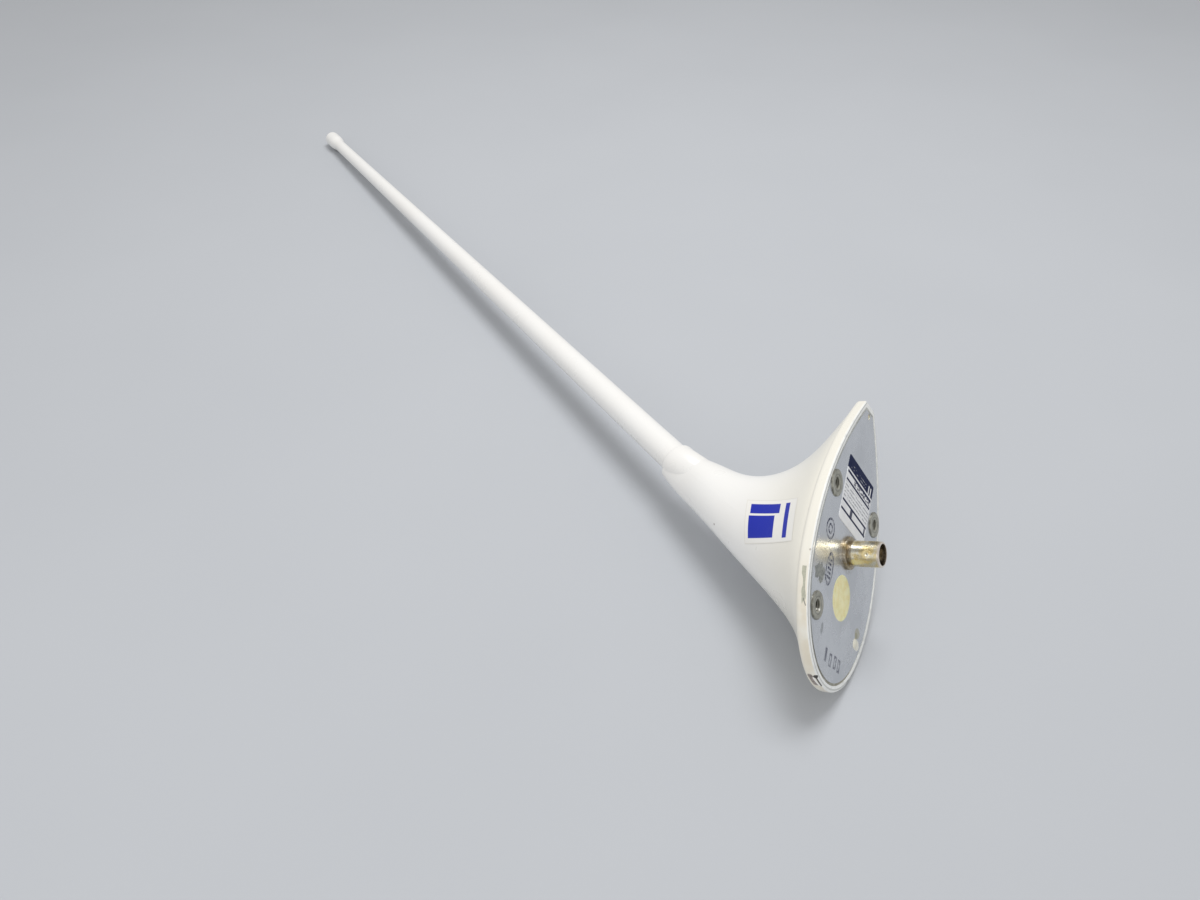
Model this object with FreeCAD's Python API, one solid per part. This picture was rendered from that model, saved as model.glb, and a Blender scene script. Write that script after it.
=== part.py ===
import FreeCAD, Part
import math
import os

# Aircraft VHF antenna: a whip raked aft on a flared base.
# Frame: +X forward, +Y port, +Z up. The underside of the base plate is z = 0,
# and the origin is on the axis of the jack. All sizes are in millimetres.

V = FreeCAD.Vector

# Outline of the base: a half ellipse forward, two parabolas aft, and a blunt end.
flange_front = 51.9
flange_aft = -61.8
widest_station = 8.1
flange_half_width = 32.5
blunt_half_width = 4.6
nose_points = 11
side_points = 7

# Wall of the rim: an eased lower edge, a straight band, and a rounded shoulder under the flare.
edge_ease = 0.8
wall_top = 3.0
shoulder_top = 4.9
shoulder_inset = 1.8
round_section_count = 5

# Whip axis: it leans aft, and meets the underside ahead of the jack.
rake_degrees = 36.45
axis_foot = 22.8

# Flare: four heights, and the offsets from the leaning axis that shape it between base and collar.
flare_low_handle = 14.2
flare_high_handle = 26.7
flare_top = 92.0
front_low_handle = 11.6
front_high_handle = 20.5
aft_low_handle = 62.4
aft_high_handle = 5.7
side_low_handle = 28.0
side_high_handle = 7.3
neck_radius = 8.04
neck_flat = 0.4
collar_station = 104.4
collar_round = 1.2
flare_wall = 3.6
cavity_top = 40.0
flare_section_count = 8

# Base plate, let into the rim, with a groove for the sealant.
plate_thickness = 2.0
rim_end = 2.4
rim_side = 1.9
groove_width = 1.0
sealant_depth = 0.4

# Whip: a tapered sleeve over the rod, with a moulded cap on a spigot.
sleeve_root_station = 58.0
sleeve_root_radius = 6.71
taper_start_station = 112.5
sleeve_end_station = 543.5
sleeve_end_radius = 3.97
spigot_radius = 3.1
spigot_length = 9.0
rod_radius = 2.4
rod_foot_station = 50.0
rod_end_margin = 5.5
cap_radius = 5.1
cap_swell_length = 11.0
cap_body_length = 17.6

# Threaded inserts: a disc under the plate, and a barrel through it.
insert_aft_x = -19.6
insert_fore_x = 26.9
insert_side_margin = 11.6
insert_disc_radius = 5.1
insert_disc_thickness = 0.5
insert_barrel_radius = 2.9
insert_barrel_height = 4.4
insert_bore_radius = 2.05
insert_bore_depth = 4.3
insert_edge_break = 0.2
insert_mouth_break = 0.25

# Filling hole and vents, closed with resin.
plug_x = 17.5
plug_radius = 8.5
plug_height = 3.6
vent_radius = 1.3
vent_fore_x = 26.1
vent_side_margin = 13.0
vent_aft_x = -57.0
vent_sink = 0.3
blob_radius = 2.1
blob_height = 0.5
blob_offset = 3.0

# Bayonet jack. Depths are below the underside of the plate, heights above it.
jack_length = 13.1
jack_barrel_radius = 4.85
jack_bore_radius = 4.05
jack_bore_depth = 8.4
jack_flange_radius = 6.25
jack_flange_thickness = 1.3
jack_relief_radius = 4.4
jack_relief_width = 1.0
jack_thread_radius = 4.7
jack_thread_height = 7.5
jack_edge_break = 0.3
lug_radius = 1.05
lug_span = 11.0
lug_depth = 8.7
lug_bearing = 70.0
lug_ring_radius = 1.7
lug_ring_height = 0.15
lug_dimple_radius = 0.6
lug_dimple_depth = 0.35
insulator_radius = 2.35
insulator_shoulder_radius = 3.0
insulator_recess = 3.4
insulator_back_gap = 0.5
contact_radius = 1.05
contact_setback = 0.2
contact_bore_radius = 0.69
contact_bore_depth = 5.0
contact_slot = 0.25
contact_tail_height = 9.5
cup_depth = 2.0
thread_clearance = 0.1
seal_radius = 5.5
seal_groove_depth = 0.6
seal_groove_width = 0.8
washer_radius = 6.3
washer_thickness = 0.6
nut_across_flats = 12.7
nut_thickness = 2.6

# Matching network on its board.
board_front = 8.5
board_aft = -26.0
board_half_width = 12.0
board_thickness = 1.6
board_height = 13.0
board_hole_inset = 3.2
standoff_across_flats = 4.5
standoff_shank_radius = 1.5
standoff_shank_length = 1.4
board_screw_radius = 1.25
board_screw_length = 6.0
screw_head_radius = 2.2
screw_head_height = 1.5
screw_slot_width = 0.5
screw_slot_depth = 0.7
wire_radius = 0.5
wire_tail = 0.6
lead_x = -5.0
lead_bend_radius = 5.0
lead_seat = 4.0
coil_radius = 3.6
coil_pitch = 2.2
coil_turns = 4
coil_section_sides = 6
coil_insulation = 0.2
coil_leg_inset = 0.75
coil_aft = -21.0
coil_lift = 1.0
capacitor_length = 7.0
capacitor_width = 3.2
capacitor_height = 6.0
capacitor_round = 0.7
capacitor_lift = 0.8
capacitor_y = -6.5
capacitor_lead_radius = 0.3
chamber_clearance = 1.2

# Foil label, set a little askew.
label_x = -21.1
label_y = -0.3
label_length = 26.4
label_width = 27.6
label_thickness = 0.12
label_turn = 4.5
label_corner = 0.8

rake = math.radians(rake_degrees)
lean = math.tan(rake)
whip_frame = FreeCAD.Placement(V(axis_foot, 0, 0), FreeCAD.Rotation(V(0, 1, 0), -rake_degrees))
board_top = board_height + board_thickness
shank_foot = plate_thickness - standoff_shank_length
insert_y = flange_half_width - insert_side_margin
vent_fore_y = vent_side_margin - flange_half_width
rod_end_station = sleeve_end_station - rod_end_margin
cap_ball_station = sleeve_end_station + cap_body_length
far = 400.0


def axis_point(station):
    """Point on the whip's axis, at a distance along it from the underside."""
    return V(axis_foot - station * math.sin(rake), 0, station * math.cos(rake))


def leaned(shape):
    """Moves a piece made on the Z axis onto the whip's axis."""
    moved = shape.copy()
    moved.Placement = whip_frame.multiply(moved.Placement)
    return moved


def bezier(poles, t):
    """Value of a cubic Bezier with these four poles."""
    u = 1 - t
    return poles[0] * u ** 3 + 3 * poles[1] * u * u * t + 3 * poles[2] * u * t * t + poles[3] * t ** 3


def turned(points):
    """Solid of revolution about Z, from a closed profile of (radius, height) points."""
    corners = [V(radius, 0, height) for radius, height in points]
    return turned_edges(Part.makePolygon(corners + corners[:1]).Edges)


def turned_edges(edges):
    return Part.Face(Part.Wire(edges)).revolve(V(0, 0, 0), V(0, 0, 1), 360)


def rod_between(start, end, radius):
    """Round rod from one point to another."""
    run = end.sub(start)
    return Part.makeCylinder(radius, run.Length, start, run)


def disc(x, y, radius, low, high):
    """Upright cylinder at a place on the plate."""
    return Part.makeCylinder(radius, high - low, V(x, y, low))


def polygon(sides, corner_radius, z):
    """Closed regular polygon at a height, its corners on a circle."""
    turns = [2 * math.pi * k / sides for k in range(sides)]
    points = [V(corner_radius * math.cos(a), corner_radius * math.sin(a), z) for a in turns]
    return Part.makePolygon(points + points[:1])


def hexagon(across_flats, low, high):
    return Part.Face(polygon(6, across_flats / math.sqrt(3), low)).extrude(V(0, 0, high - low))


def steps(count):
    """Even values from 0 to 1."""
    return [k / (count - 1) for k in range(count)]


def curve_through(points):
    """Smooth curve, with the points at even parameters so that the curves of a loft match."""
    spline = Part.BSplineCurve()
    spline.interpolate(Points=points, Parameters=steps(len(points)))
    return spline.toShape()


def outline(front, aft, centre, half_width, blunt, roundness, z):
    """Closed outline of a section: half ellipse, two sides and the blunt end.

    The sides pass from parabolas at the base (roundness 0) to quarter ellipses (roundness 1).
    """
    nose = [V(centre + (front - centre) * math.sin(math.pi * u), -half_width * math.cos(math.pi * u), z)
            for u in steps(nose_points)]
    side = []
    for u in steps(side_points):
        reach = (1 - roundness) * u + roundness * math.sin(u * math.pi / 2)
        fall = (1 - roundness) * (1 - u * u) + roundness * math.cos(u * math.pi / 2)
        side.append((centre - (centre - aft) * reach, blunt + (half_width - blunt) * fall))
    port = [V(x, y, z) for x, y in side]
    starboard = [V(x, -y, z) for x, y in reversed(side)]
    end = Part.makeLine(port[-1], starboard[0])
    return Part.Wire([curve_through(nose), curve_through(port), end, curve_through(starboard)])


def inset_blunt(end_inset, side_inset):
    """Half width of the blunt end once the outline is drawn in by these amounts."""
    slope = 2 * (flange_half_width - blunt_half_width) / (widest_station - flange_aft)
    return blunt_half_width + slope * end_inset - side_inset * math.hypot(1, slope)


def base_outline(end_inset, side_inset, z):
    """Outline of the base, drawn in at its ends and at its sides."""
    return outline(flange_front - end_inset, flange_aft + end_inset, widest_station,
                   flange_half_width - side_inset, inset_blunt(end_inset, side_inset), 0.0, z)


def base_prism(end_inset, side_inset, low, high):
    return Part.Face(base_outline(end_inset, side_inset, low)).extrude(V(0, 0, high - low))


def flare_section(t, inset):
    """Level section of the flare. t runs from 0 on the shoulder to 1 above the collar."""
    foot = axis_foot - shoulder_top * lean
    level_neck = neck_radius / math.cos(rake)
    start_front = flange_front - shoulder_inset
    start_aft = flange_aft + shoulder_inset
    start_side = flange_half_width - shoulder_inset
    z = bezier((shoulder_top, flare_low_handle, flare_high_handle, flare_top), t)
    fore = bezier((start_front - foot, front_low_handle, front_high_handle, level_neck), t) - inset
    back = bezier((foot - start_aft, aft_low_handle, aft_high_handle, level_neck), t) - inset
    side = bezier((start_side, side_low_handle, side_high_handle, neck_radius), t)
    base_share = (side - neck_radius) / (start_side - neck_radius)
    base_share = min(max(base_share, 0.0), 1.0)
    axis_x = axis_foot - z * lean
    centre = axis_x + (widest_station - foot) * base_share
    base_blunt = inset_blunt(shoulder_inset + inset, shoulder_inset + inset)
    blunt = neck_flat + (base_blunt - neck_flat) * base_share
    return outline(axis_x + fore, axis_x - back, centre, side - inset, blunt, 1 - base_share, z)


def flare(inset):
    return Part.makeLoft([flare_section(t, inset) for t in steps(flare_section_count)], True, False)


def shoulder():
    """Quarter round from the straight wall of the rim to the foot of the flare."""
    rise = shoulder_top - wall_top
    sections = []
    for u in steps(round_section_count):
        inset = shoulder_inset * (1 - math.cos(u * math.pi / 2))
        sections.append(base_outline(inset, inset, wall_top + rise * math.sin(u * math.pi / 2)))
    return Part.makeLoft(sections, True, True)


def eased_edge():
    """Quarter round at the lowest edge of the rim."""
    sections = []
    for u in steps(round_section_count):
        inset = edge_ease * (1 - math.sin(u * math.pi / 2))
        sections.append(base_outline(inset, inset, edge_ease * (1 - math.cos(u * math.pi / 2))))
    return Part.makeLoft(sections, True, True)


def outer_form():
    """The whole outside of the radome, with its foot on the underside's level."""
    wall = base_prism(0.0, 0.0, edge_ease, wall_top)
    return flare(0.0).fuse([shoulder(), wall, eased_edge()])


def above_level(z):
    return Part.makeBox(2 * far, 2 * far, far, V(-far, -far, z))


def whip_bore(top_station):
    """Bore for the whip's root, open into the cavity below."""
    start = (cavity_top - sleeve_root_radius * math.sin(rake)) / math.cos(rake)
    return leaned(Part.makeCylinder(sleeve_root_radius, top_station - start, V(0, 0, start)))


def cavity():
    """Inside of the flare, with a straight foot that stands on the base plate."""
    inset = shoulder_inset + flare_wall
    foot = base_prism(inset, inset, plate_thickness, shoulder_top)
    return flare(flare_wall).fuse(foot).cut(above_level(cavity_top))


def collar_trim():
    """Everything past the collar, with a round left at its outer edge."""
    low = collar_station - collar_round
    flat = neck_radius - collar_round
    slant = collar_round * math.sqrt(0.5)
    rounding = Part.Arc(V(flat, 0, collar_station), V(flat + slant, 0, low + slant), V(neck_radius, 0, low))
    crown = turned_edges([
        Part.makeLine(V(0, 0, low), V(0, 0, collar_station)),
        Part.makeLine(V(0, 0, collar_station), V(flat, 0, collar_station)),
        rounding.toShape(),
        Part.makeLine(V(neck_radius, 0, low), V(0, 0, low)),
    ])
    return leaned(Part.makeCylinder(far, far, V(0, 0, low)).cut(crown))


def insert_places():
    return {
        "insert_aft_port": (insert_aft_x, insert_y),
        "insert_aft_starboard": (insert_aft_x, -insert_y),
        "insert_fore_port": (insert_fore_x, insert_y),
    }


def insert_barrels():
    return [disc(x, y, insert_barrel_radius, 0, insert_barrel_height) for x, y in insert_places().values()]


def radome_shell():
    recess = base_prism(rim_end, rim_side, 0, plate_thickness)
    bore = whip_bore(collar_station + collar_round)
    return outer_form().cut([collar_trim(), recess, cavity(), bore] + insert_barrels())


def base_plate():
    end = rim_end + groove_width
    side = rim_side + groove_width
    plate = base_prism(end, side, 0, plate_thickness)
    holes = insert_barrels()
    holes.append(disc(0, 0, jack_thread_radius + thread_clearance, 0, plate_thickness))
    holes.append(disc(plug_x, 0, plug_radius, 0, plate_thickness))
    holes.append(disc(vent_fore_x, vent_fore_y, vent_radius, 0, plate_thickness))
    holes.append(disc(vent_aft_x, 0, vent_radius, 0, plate_thickness))
    for x, y in standoff_places():
        holes.append(disc(x, y, standoff_shank_radius, shank_foot, plate_thickness))
    return plate.cut(holes)


def edge_sealant():
    outer = base_prism(rim_end, rim_side, sealant_depth, plate_thickness)
    plate = base_prism(rim_end + groove_width, rim_side + groove_width, 0, plate_thickness)
    return outer.cut([plate] + insert_barrels())


def threaded_insert(x, y):
    low = -insert_disc_thickness
    bore_top = insert_bore_depth + low
    rim = insert_disc_radius
    bore = insert_bore_radius
    insert = turned([
        (bore + insert_mouth_break, low),
        (rim - insert_edge_break, low),
        (rim, low + insert_edge_break),
        (rim, 0),
        (insert_barrel_radius, 0),
        (insert_barrel_radius, insert_barrel_height),
        (0, insert_barrel_height),
        (0, bore_top),
        (bore, bore_top),
        (bore, low + insert_mouth_break),
    ])
    insert.translate(V(x, y, 0))
    return insert


def potting_plug():
    return disc(plug_x, 0, plug_radius, 0, plug_height)


def vent_plug_fore():
    """Resin in the hole, with a low blob of it squeezed out beside."""
    ball = (blob_radius ** 2 + blob_height ** 2) / (2 * blob_height)
    blob = Part.makeSphere(ball, V(vent_fore_x + blob_offset, vent_fore_y, ball - blob_height))
    blob = blob.cut(above_level(0))
    fill = disc(vent_fore_x, vent_fore_y, vent_radius, 0, plate_thickness)
    return fill.fuse(blob)


def vent_plug_aft():
    return disc(vent_aft_x, 0, vent_radius, vent_sink, plate_thickness)


def bayonet_lug(bearing):
    """Stud that faces a bearing from forward, dimpled at its end, with a swaged ring at its foot."""
    wall_middle = (jack_bore_radius + jack_barrel_radius) / 2
    ring_top = jack_barrel_radius + lug_ring_height
    end = lug_span / 2
    lug = turned([
        (0, wall_middle),
        (lug_ring_radius, wall_middle),
        (lug_ring_radius, ring_top),
        (lug_radius, ring_top),
        (lug_radius, end),
        (lug_dimple_radius, end),
        (0, end - lug_dimple_depth),
    ])
    facing = V(math.cos(math.radians(bearing)), math.sin(math.radians(bearing)), 0)
    lug.Placement = FreeCAD.Placement(V(0, 0, -lug_depth), FreeCAD.Rotation(V(0, 0, 1), facing))
    return lug


def connector_body():
    mouth = -jack_length
    flange = -jack_flange_thickness
    relief = flange - jack_relief_width
    step = jack_edge_break
    body = turned([
        (jack_bore_radius, mouth),
        (jack_barrel_radius - step, mouth),
        (jack_barrel_radius, mouth + step),
        (jack_barrel_radius, relief - step),
        (jack_relief_radius, relief),
        (jack_relief_radius, flange),
        (jack_flange_radius - step, flange),
        (jack_flange_radius, flange + step),
        (jack_flange_radius, 0),
        (seal_radius + seal_groove_width / 2, 0),
        (seal_radius + seal_groove_width / 2, -seal_groove_depth),
        (seal_radius - seal_groove_width / 2, -seal_groove_depth),
        (seal_radius - seal_groove_width / 2, 0),
        (jack_thread_radius, 0),
        (jack_thread_radius, jack_thread_height - step),
        (jack_thread_radius - step, jack_thread_height),
        (insulator_shoulder_radius, jack_thread_height),
        (insulator_shoulder_radius, 0),
        (insulator_radius, 0),
        (insulator_radius, mouth + jack_bore_depth),
        (jack_bore_radius, mouth + jack_bore_depth),
    ])
    return body.fuse([bayonet_lug(lug_bearing), bayonet_lug(lug_bearing + 180)])


def connector_insulator():
    front = insulator_recess - jack_length
    return turned([
        (contact_radius, front),
        (insulator_radius, front),
        (insulator_radius, 0),
        (insulator_shoulder_radius, 0),
        (insulator_shoulder_radius, jack_thread_height - insulator_back_gap),
        (contact_radius, jack_thread_height - insulator_back_gap),
    ])


def connector_contact():
    """Socket split into tines at its mouth, with a solder cup at its tail."""
    front = insulator_recess + contact_setback - jack_length
    pin = turned([
        (contact_bore_radius, front),
        (contact_radius, front),
        (contact_radius, contact_tail_height),
        (wire_radius, contact_tail_height),
        (wire_radius, contact_tail_height - cup_depth),
        (0, contact_tail_height - cup_depth),
        (0, front + contact_bore_depth),
        (contact_bore_radius, front + contact_bore_depth),
    ])
    slot = Part.makeBox(4 * contact_radius, contact_slot, contact_bore_depth,
                        V(-2 * contact_radius, -contact_slot / 2, front))
    return pin.cut(slot)


def connector_seal():
    """Flat rubber ring that fills the groove in the jack's flange."""
    inner = seal_radius - seal_groove_width / 2
    outer = seal_radius + seal_groove_width / 2
    return turned([(inner, -seal_groove_depth), (outer, -seal_groove_depth), (outer, 0), (inner, 0)])


def lock_washer():
    top = plate_thickness + washer_thickness
    ring = disc(0, 0, washer_radius, plate_thickness, top)
    return ring.cut(disc(0, 0, jack_thread_radius + thread_clearance, plate_thickness, top))


def connector_nut():
    low = plate_thickness + washer_thickness
    nut = hexagon(nut_across_flats, low, low + nut_thickness)
    return nut.cut(disc(0, 0, jack_thread_radius, low, low + nut_thickness))


def standoff_places():
    x_ends = (board_front - board_hole_inset, board_aft + board_hole_inset)
    y_side = board_half_width - board_hole_inset
    return [(x, y) for x in x_ends for y in (y_side, -y_side)]


def board_standoff(x, y):
    post = hexagon(standoff_across_flats, plate_thickness, board_height)
    shank = disc(0, 0, standoff_shank_radius, shank_foot, plate_thickness)
    tapping = disc(0, 0, board_screw_radius, board_top - board_screw_length, board_height)
    post = post.fuse(shank).cut(tapping)
    post.translate(V(x, y, 0))
    return post


def board_screw(x, y):
    head_top = board_top + screw_head_height
    head = disc(0, 0, screw_head_radius, board_top, head_top)
    shank = disc(0, 0, board_screw_radius, board_top - board_screw_length, board_top)
    slot = Part.makeBox(2 * screw_head_radius, screw_slot_width, screw_slot_depth,
                        V(-screw_head_radius, -screw_slot_width / 2, head_top - screw_slot_depth))
    screw = head.fuse(shank).cut(slot)
    screw.translate(V(x, y, 0))
    return screw


def coil_legs():
    """The two places where the coil's bared ends pass through the board."""
    return [(coil_aft, coil_leg_inset), (coil_aft + coil_pitch * coil_turns, -coil_leg_inset)]


def capacitor_leads():
    return [lead_x, 0.0]


def matching_board():
    board = Part.makeBox(board_front - board_aft, 2 * board_half_width, board_thickness,
                         V(board_aft, -board_half_width, board_height))
    holes = [disc(x, y, board_screw_radius, board_height, board_top) for x, y in standoff_places()]
    wires = coil_legs() + [(0.0, 0.0), (lead_x, 0.0)]
    holes += [disc(x, y, wire_radius, board_height, board_top) for x, y in wires]
    for x in capacitor_leads():
        holes.append(disc(x, capacitor_y, capacitor_lead_radius, board_height, board_top))
    return board.cut(holes)


def matching_coil():
    """Air-wound coil lying fore and aft, with both ends brought down through the board."""
    height = coil_pitch * coil_turns
    helix = Part.makeHelix(coil_pitch, height, coil_radius)
    section = polygon(coil_section_sides, wire_radius + coil_insulation, 0)
    rise = V(0, 2 * math.pi * coil_radius, coil_pitch)
    section.Placement = FreeCAD.Placement(V(coil_radius, 0, 0), FreeCAD.Rotation(V(0, 0, 1), rise))
    winding = Part.Wire(helix.Edges).makePipeShell([section], True, True)
    middle = board_top + coil_lift + coil_radius
    winding.Placement = FreeCAD.Placement(V(coil_aft, 0, middle), FreeCAD.Rotation(V(0, 1, 0), 90))
    legs = [disc(x, y, wire_radius, board_height - wire_tail, middle - coil_radius) for x, y in coil_legs()]
    return winding.fuse(legs)


def series_capacitor():
    low = board_top + capacitor_lift
    centre = sum(capacitor_leads()) / 2
    body = Part.makeBox(capacitor_length, capacitor_width, capacitor_height,
                        V(centre - capacitor_length / 2, capacitor_y - capacitor_width / 2, low))
    body = body.makeFillet(capacitor_round, body.Edges)
    foot = board_height - wire_tail
    leads = [disc(x, capacitor_y, capacitor_lead_radius, foot, low + capacitor_round) for x in capacitor_leads()]
    return body.fuse(leads)


def feed_wire():
    return disc(0, 0, wire_radius, contact_tail_height - cup_depth, board_top + wire_tail)


def lead_path():
    """Up from the board, round one bend, and along the axis into the rod's foot."""
    corner_height = (axis_foot - lead_x) / lean
    corner = V(lead_x, 0, corner_height)
    tangent = lead_bend_radius * math.tan(rake / 2)
    along = axis_point(1).sub(axis_point(0))
    bend_start = corner.sub(V(0, 0, tangent))
    bend_end = corner.add(along * tangent)
    centre = bend_start.sub(V(lead_bend_radius, 0, 0))
    bend_middle = centre.add(V(math.cos(rake / 2), 0, math.sin(rake / 2)) * lead_bend_radius)
    end = axis_point(rod_foot_station + lead_seat)
    return Part.Wire([
        Part.makeLine(V(lead_x, 0, board_height - wire_tail), bend_start),
        Part.Arc(bend_start, bend_middle, bend_end).toShape(),
        Part.makeLine(bend_end, end),
    ])


def radiator_lead():
    ring = Part.Wire(Part.makeCircle(wire_radius, V(lead_x, 0, board_height - wire_tail), V(0, 0, 1)))
    return lead_path().makePipeShell([ring], True, False)


def radiator_rod():
    return leaned(turned([
        (wire_radius, rod_foot_station),
        (rod_radius, rod_foot_station),
        (rod_radius, rod_end_station),
        (0, rod_end_station),
        (0, rod_foot_station + lead_seat),
        (wire_radius, rod_foot_station + lead_seat),
    ]))


def whip_sleeve():
    spigot_end = sleeve_end_station + spigot_length
    return leaned(turned([
        (rod_radius, sleeve_root_station),
        (sleeve_root_radius, sleeve_root_station),
        (sleeve_root_radius, taper_start_station),
        (sleeve_end_radius, sleeve_end_station),
        (spigot_radius, sleeve_end_station),
        (spigot_radius, spigot_end),
        (0, spigot_end),
        (0, rod_end_station),
        (rod_radius, rod_end_station),
    ]))


def tip_cap():
    """Swells from the whip's own radius to a short barrel, and ends in half a ball."""
    swell_end = sleeve_end_station + cap_swell_length
    middle = (sleeve_end_station + swell_end) / 2
    swell = Part.BezierCurve()
    swell.setPoles([V(sleeve_end_radius, 0, sleeve_end_station), V(sleeve_end_radius, 0, middle),
                    V(cap_radius, 0, middle), V(cap_radius, 0, swell_end)])
    spigot_end = sleeve_end_station + spigot_length
    slant = cap_radius * math.sqrt(0.5)
    ball = Part.Arc(V(cap_radius, 0, cap_ball_station), V(slant, 0, cap_ball_station + slant),
                    V(0, 0, cap_ball_station + cap_radius))
    return leaned(turned_edges([
        Part.makeLine(V(spigot_radius, 0, sleeve_end_station), V(sleeve_end_radius, 0, sleeve_end_station)),
        swell.toShape(),
        Part.makeLine(V(cap_radius, 0, swell_end), V(cap_radius, 0, cap_ball_station)),
        ball.toShape(),
        Part.makeLine(V(0, 0, cap_ball_station + cap_radius), V(0, 0, spigot_end)),
        Part.makeLine(V(0, 0, spigot_end), V(spigot_radius, 0, spigot_end)),
        Part.makeLine(V(spigot_radius, 0, spigot_end), V(spigot_radius, 0, sleeve_end_station)),
    ]))


def network_chamber():
    """Clear space in the filling, over the board and what stands on it."""
    gap = chamber_clearance
    parts_height = coil_lift + 2 * (coil_radius + wire_radius)
    top = board_top + max(parts_height, capacitor_lift + capacitor_height) + gap
    length = board_front - board_aft + 2 * gap
    half_width = board_half_width + gap
    return Part.makeBox(length, 2 * half_width, top - plate_thickness,
                        V(board_aft - gap, -half_width, plate_thickness))


def foam_core():
    core = cavity().fuse(whip_bore(sleeve_root_station))
    rod = rod_between(axis_point(rod_foot_station), axis_point(sleeve_root_station), rod_radius)
    return core.cut([network_chamber(), potting_plug(), rod, radiator_lead()] + insert_barrels())


def data_label():
    sheet = Part.makeBox(label_length, label_width, label_thickness,
                         V(-label_length / 2, -label_width / 2, -label_thickness))
    upright = [e for e in sheet.Edges if abs(e.Vertexes[0].Z - e.Vertexes[1].Z) > label_thickness / 2]
    sheet = sheet.makeFillet(label_corner, upright)
    sheet.Placement = FreeCAD.Placement(V(label_x, label_y, 0), FreeCAD.Rotation(V(0, 0, 1), label_turn))
    return sheet


def all_pieces():
    pieces = {
        "radome_shell": radome_shell(),
        "foam_core": foam_core(),
        "base_plate": base_plate(),
        "edge_sealant": edge_sealant(),
        "potting_plug": potting_plug(),
        "vent_plug_fore": vent_plug_fore(),
        "vent_plug_aft": vent_plug_aft(),
        "connector_body": connector_body(),
        "connector_insulator": connector_insulator(),
        "connector_contact": connector_contact(),
        "connector_seal": connector_seal(),
        "lock_washer": lock_washer(),
        "connector_nut": connector_nut(),
        "matching_board": matching_board(),
        "matching_coil": matching_coil(),
        "series_capacitor": series_capacitor(),
        "feed_wire": feed_wire(),
        "radiator_lead": radiator_lead(),
        "radiator_rod": radiator_rod(),
        "whip_sleeve": whip_sleeve(),
        "tip_cap": tip_cap(),
        "data_label": data_label(),
    }
    for name, (x, y) in insert_places().items():
        pieces[name] = threaded_insert(x, y)
    for number, (x, y) in enumerate(standoff_places(), start=1):
        pieces["board_standoff_%d" % number] = board_standoff(x, y)
        pieces["board_screw_%d" % number] = board_screw(x, y)
    return pieces


os.makedirs("parts", exist_ok=True)
for name, piece in all_pieces().items():
    piece.exportStep("parts/%s.step" % name)
    print("%-22s solids %d  valid %s" % (name, len(piece.Solids), piece.isValid()))
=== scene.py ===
"""Aircraft radio antenna: a raked whip on a flared base, seen with its underside towards the camera."""
import math
import bmesh
import bpy
from mathutils import Matrix, Vector


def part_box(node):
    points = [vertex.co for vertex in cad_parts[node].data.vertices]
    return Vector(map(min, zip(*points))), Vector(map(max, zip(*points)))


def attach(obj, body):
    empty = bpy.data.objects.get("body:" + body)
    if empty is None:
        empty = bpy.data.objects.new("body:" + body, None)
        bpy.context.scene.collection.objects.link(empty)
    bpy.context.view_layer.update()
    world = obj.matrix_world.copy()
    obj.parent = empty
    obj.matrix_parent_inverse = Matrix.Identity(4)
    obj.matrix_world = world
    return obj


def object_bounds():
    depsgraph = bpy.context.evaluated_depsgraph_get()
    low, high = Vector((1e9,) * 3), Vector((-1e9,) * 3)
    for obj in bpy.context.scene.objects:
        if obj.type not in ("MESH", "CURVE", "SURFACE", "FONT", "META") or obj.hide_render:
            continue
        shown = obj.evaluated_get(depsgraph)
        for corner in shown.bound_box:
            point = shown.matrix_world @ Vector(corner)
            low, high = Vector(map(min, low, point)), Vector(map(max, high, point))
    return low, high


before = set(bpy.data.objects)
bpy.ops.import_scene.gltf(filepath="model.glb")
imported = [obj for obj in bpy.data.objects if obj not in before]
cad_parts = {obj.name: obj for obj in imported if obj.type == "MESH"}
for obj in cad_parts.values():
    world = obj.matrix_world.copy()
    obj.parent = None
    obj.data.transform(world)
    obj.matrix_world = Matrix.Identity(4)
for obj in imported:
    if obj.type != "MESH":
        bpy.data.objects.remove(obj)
cad_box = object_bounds()

MM = 0.001

# Camera, in the antenna's own frame, and the table that the antenna's rim and tip lie on
camera_place = Vector((116.0, 331.5, -134.8)) * MM
camera_back = Vector((0.3559, 0.7336, -0.5789))
camera_up = Vector((-0.9044, 0.4264, -0.0156))
focal_length = 29.1
sensor_width = 36.0
table_tilt = math.radians(40.4)
table_half_side = 4.0
table_gap = 0.2

# Lamps: a name, the way from the antenna's middle up from the table, right and away, a size, and watts
lamps = (
    ("lamp_over", (1.05, 0.20, 0.10), 0.50, 6.4),
    ("lamp_beside", (0.45, -0.30, -0.90), 0.80, 2.0),
)
sky_colour = (0.89, 0.88, 0.87)
sky_strength = 0.66

# Directions that follow: the camera's right, up and back, the table's up and away, and the antenna's middle
back = camera_back.normalized()
right = camera_up.cross(back).normalized()
up = back.cross(right)
table_up = up * math.cos(table_tilt) + back * math.sin(table_tilt)
away = table_up.cross(right).normalized()
middle = Vector(((cad_box[0][0] + cad_box[1][0]) / 2, 0, (cad_box[0][2] + cad_box[1][2]) / 2))

# Film on the port side of the flare: its middle and half sides along x and z, then its own size, in mm
film_centre = Vector((-4.6, 24.3))
film_short = Vector((9.1, -1.1))
film_long = Vector((-1.8, 13.3))
film_width = 18.3
film_length = 30.0
film_thickness = 0.08
film_steps = 28

# Plain device on the film, two blocks and a rule: each one's middle, half width and half length
film_blocks = (((4.0, 18.6), 2.1, 8.6), ((11.6, 20.2), 4.6, 7.6), ((9.2, 5.4), 7.4, 1.3))

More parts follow.
